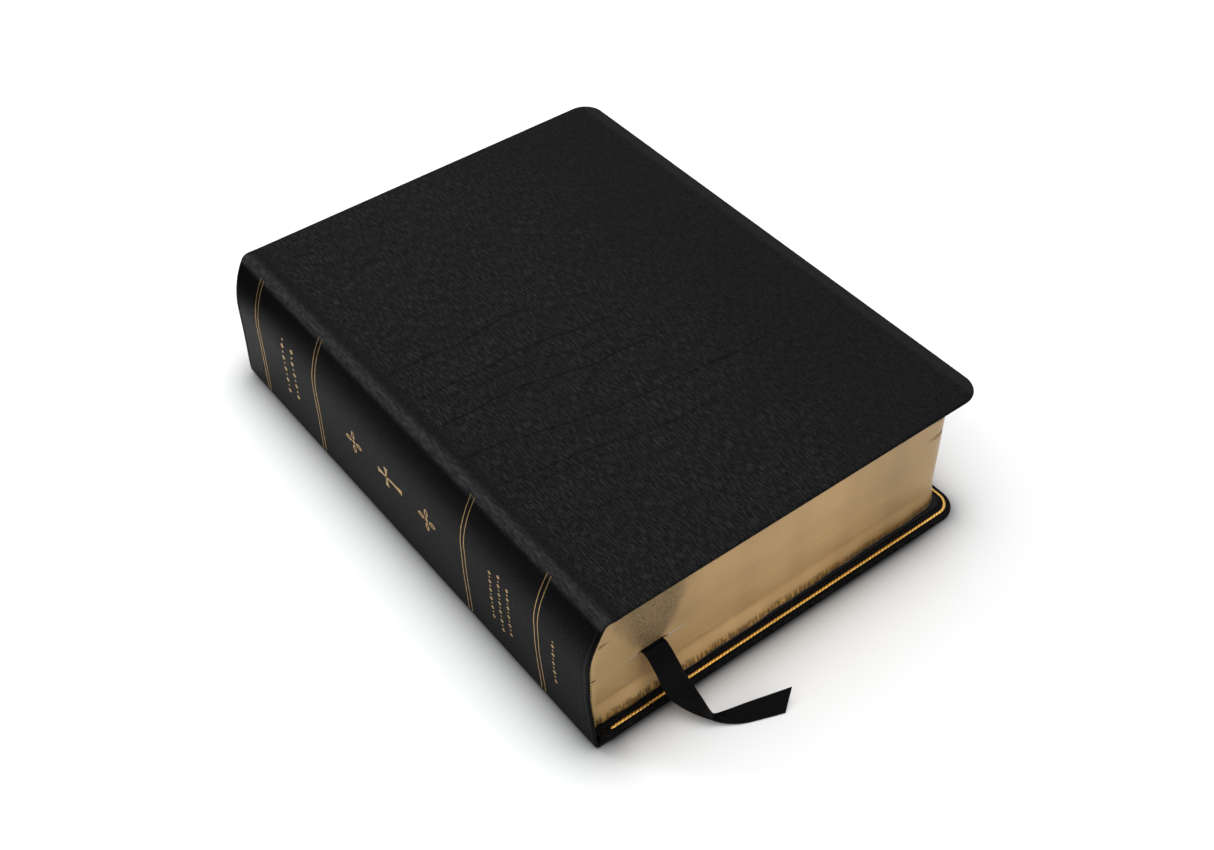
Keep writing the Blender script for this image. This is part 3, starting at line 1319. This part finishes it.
def sky(world):
    """A soft white dome: dark near the horizon, brightest overhead, a little brighter behind the spine."""
    n = Nodes("sky", world)
    x, y, z = n.split(n.add("TexCoord").outputs["Generated"])
    rise = n.ramp(z, *SKY_RISE, SKY_HORIZON, SKY_MIDDLE)
    crown = n.ramp(z, *SKY_CROWN, 0.0, SKY_OVERHEAD - SKY_MIDDLE)
    side = n.ramp(x, -1.0, 1.0, 1 + SKY_LEFT_BIAS, 1 - SKY_LEFT_BIAS)
    n.finish(Color=grey(1), Strength=n.times(n.math("ADD", rise, crown), side))


TABLE_Z = -0.0001
TABLE_NEAR = 0.19
TABLE_FAR = 4.0
WALL_TOP = 4.0
SHADE_REACH = 6.0
SHADE_REACH_SPINE = 8.8
SHADE_DEPTH = 0.90
WINDOW_WATTS = 2.5
TABLE_TONE = rgb(0.888, 0.897, 0.905)


def table_paint():
    """White paint with the soft line of shade that the back cover keeps round itself."""
    n = Nodes("table_white")
    x, y, z = n.split(n.object_mm())
    mid_x = SPINE_X + (2 + COVER_X - FORE_DRAWN_IN) / 2
    half_x = (COVER_X - FORE_DRAWN_IN - 2) / 2
    past = []
    for axis, middle, half in ((x, mid_x, half_x - 8), (y, MID_Y - 1, COVER_HALF - 7)):
        past.append(n.math("MAXIMUM", n.math("SUBTRACT", n.apart(axis, middle), half), 0.0))
    squares = n.math("ADD", n.math("POWER", past[0], 2.0), n.math("POWER", past[1], 2.0))
    away = n.math("SUBTRACT", n.math("SQRT", squares), 8.0)
    reach = n.ramp(x, mid_x - half_x - 2, mid_x - half_x + 12, -SHADE_REACH_SPINE, -SHADE_REACH)
    shade = n.math("EXPONENT", n.math("DIVIDE", n.math("MAXIMUM", away, 0.0), reach))
    shade = n.times(shade, n.ramp(x, mid_x + half_x - 30, mid_x + half_x + 5, 1.0, 0.6))
    tone = n.mix(n.times(shade, SHADE_DEPTH), TABLE_TONE, grey(0.0))
    return n.finish(Base_Color=tone, Roughness=0.9, Specular_IOR_Level=0.0)


def stage_mesh(name, points, faces, paint):
    mesh = bpy.data.meshes.new(name)
    mesh.from_pydata(points, [], faces)
    mesh.materials.append(paint)
    part = bpy.data.objects.new(name, mesh)
    bpy.context.collection.objects.link(part)
    return part


SQUARE = [(-1, -1), (1, -1), (1, 1), (-1, 1)]
SQUARE_SIDES = [(k, (k + 1) % 4, 4 + (k + 1) % 4, 4 + k) for k in range(4)]


def table_part(name, outer, inner, paint):
    """A square of table top, or a square frame of it when inner is given."""
    sizes = [outer, inner] if inner else [outer]
    points = [(x * size, y * size, TABLE_Z) for size in sizes for x, y in SQUARE]
    return stage_mesh(name, points, SQUARE_SIDES if inner else [(0, 1, 2, 3)], paint)


def backdrop():
    """A pale wall all round the far table, seen by the camera only."""
    points = [(x * TABLE_FAR, y * TABLE_FAR, z) for z in (TABLE_Z, WALL_TOP) for x, y in SQUARE]
    white = Nodes("backdrop_white").finish(Emission_Color=grey(1), Emission_Strength=1.0)
    wall = stage_mesh("backdrop", points, SQUARE_SIDES, white)
    for ray in ("diffuse", "glossy", "transmission", "shadow"):
        setattr(wall, "visible_" + ray, False)


def make_studio():
    """A white table under a big white dome, with no far table in the leather's shine."""
    paint = table_paint()
    backdrop()
    table_part("table_top", TABLE_NEAR, None, paint)
    table_part("table_far", TABLE_FAR, TABLE_NEAR, paint).visible_glossy = False
    world = bpy.data.worlds.new("room")
    sky(world)
    bpy.context.scene.world = world
    area_light("window", (-0.45, 0.55, 0.72), (0, 0, 0.03), (0.30, 0.30), WINDOW_WATTS)


bpy.context.scene.view_settings.view_transform = "Standard"
make_camera()
make_studio()

# ---- the book ----
black_leather = hide_leather("black_leather", 0.9)
spine_leather = hide_leather("spine_leather", 0.0)
lining_leather = smooth_leather("cover_lining", (0.004, 0.004, 0.0042), 0.5)
cover_gold = gold_foil("gold_foil", (1.0, 0.64, 0.18), 0.22, twisted=True)
tooling_gold = gold_foil("tooling_gold", (0.62, 0.42, 0.19), 0.38)
gilt = gilt_edges()
india_paper = paper("india_paper", (0.84, 0.80, 0.70))
black_endpaper = paper("black_endpaper", (0.012, 0.0115, 0.011), 0.02, 0.7)


def settle(piece, nodes, body=None, across=None):
    """Says which plain nodes a piece stands for, its finish, and the body or joint it moves with."""
    if nodes:
        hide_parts(*nodes)
    if across:
        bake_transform(piece)
    else:
        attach(piece, body)
    return piece


def between(first, second, start, end):
    """Two bodies, and the places in the book's millimetres where a piece passes from one to the other."""
    return first, second, row_point(*start), row_point(*end)


MIDDLE_Z = joint_place("middle_opening")[2]
MIDDLE_BEND = 4.0
over_middle = between("back_half", "front_half",
                      (0, 0, MIDDLE_Z - MIDDLE_BEND), (0, 0, MIDDLE_Z + MIDDLE_BEND))
ridge_x, ridge_z = hide_line(np.array(RIDGE_LEN + 1.0))[:2]
over_front_joint = between("front_half", "front_cover", (ridge_x, 0, ridge_z), (RIDGE_X + 2.5, 0, BOOK_T))
over_back_joint = between("back_cover", "back_half", (FOOT_X, 0, 0), (SPINE_FACE_X, 0, BEAD_R))
spine_nodes = ["front_spine_leather", "back_spine_leather"]
gilding_nodes = ["front_spine_gilding", "back_spine_gilding"]

settle(front_hide(black_leather), ["front_cover_leather"], across=over_front_joint)
settle(spine_hide(spine_leather), spine_nodes, across=over_middle)
settle(back_hide(black_leather), ["back_cover_leather"], across=over_back_joint)
settle(spine_gold(tooling_gold), gilding_nodes, across=over_middle)

settle(gold_fillet("front_cover_gold_fillet", FRONT_COVER_X + FILLET_IN, BOOK_T - COVER_T, -1, cover_gold),
       ["front_cover_fillet"], "front_cover")
settle(gold_fillet("back_cover_gold_fillet", FOOT_X + 0.9, COVER_T, 1, cover_gold),
       ["back_cover_fillet"], "back_cover")

FRONT_PAGE_Z = book_box("front_gathering_12")[1][2]
BACK_PAGE_Z = BLOCK_LO[2]
over_front_lining = between("front_half", "front_cover",
                            (0, 0, FRONT_PAGE_Z + 0.2), (0, 0, BOOK_T - COVER_T - 0.1))
over_back_lining = between("back_cover", "back_half", (0, 0, COVER_T + 0.1), (0, 0, BACK_PAGE_Z - 0.2))
settle(lining("front_cover_lining", FRONT_PAGE_Z, 10.0, lining_leather),
       ["front_cover_lining"], across=over_front_lining)
settle(lining("back_cover_lining", BACK_PAGE_Z, 7.6, lining_leather),
       ["back_cover_lining"], across=over_back_lining)
low_page = book_box("back_gathering_10")[1][2] + FOLD_T
high_page = book_box("front_gathering_01")[0][2] - FOLD_T
over_fold = between("back_half", "front_half", (FOLD_TOP[0], 0, FOLD_TOP[1]), (FOLD_ROOT_X, 0, high_page))
settle(centre_fold("centre_fold_back_sheet", low_page, india_paper), [], "back_half")
settle(centre_fold("centre_fold_front_sheet", high_page, india_paper), [], across=over_fold)

rng = np.random.default_rng(SEED)
for half in ("back_half", "front_half"):
    nodes = sorted(n for n in frame["record"]["behaviour"]["bodies"][half] if "_gathering_" in n)
    for node in nodes:
        settle(gathering(node, gilt, india_paper, rng), [node], half)

for node, material, slot in (("front_flyleaf", black_endpaper, "black_endpaper"),
                             ("title_leaf", india_paper, "india_paper"),
                             ("middle_leaf", india_paper, "india_paper"),
                             ("back_flyleaf", black_endpaper, "black_endpaper")):
    settle(page_leaf(node, material), [node], node)

silk = headband_silk()
settle(headbands("back_headbands", silk), ["back_headbands"], "back_half")
settle(headbands("front_headbands", silk), ["front_headbands"], "front_half")

inner_materials = {
    "cover_board": paper("cover_board", (0.30, 0.24, 0.17), 0.05),
    "hollow_tube": paper("kraft_paper", (0.42, 0.31, 0.19), 0.03),
    "mull": woven("mull_cloth", (0.70, 0.67, 0.58), 1.2, 0.15, 0.35),
    "sewing_tapes": woven("linen_tape", (0.80, 0.76, 0.65), 0.5, 0.05),
    "sewing_thread": woven("linen_thread", (0.86, 0.83, 0.74), 0.35, 0.03),
}
for node, piece in frame["nodes"].items():
    for ending, material in inner_materials.items():
        if node.endswith(ending):
            piece.data.materials.clear()
            piece.data.materials.append(material)

inside, drop, end = ribbon_pieces(satin())
settle(inside, ["ribbon_in_pages"], "back_half")
over_page_edge = between("back_half", "ribbon_drop", (0, -117.8, 0), (0, -121.5, 0))
over_ribbon_bend = between("ribbon_drop", "ribbon_end", (39.0, -140.0, 0), (50.0, -146.0, 0))
settle(drop, ["ribbon_drop"], across=over_page_edge)
settle(end, ["ribbon_end"], across=over_ribbon_bend)
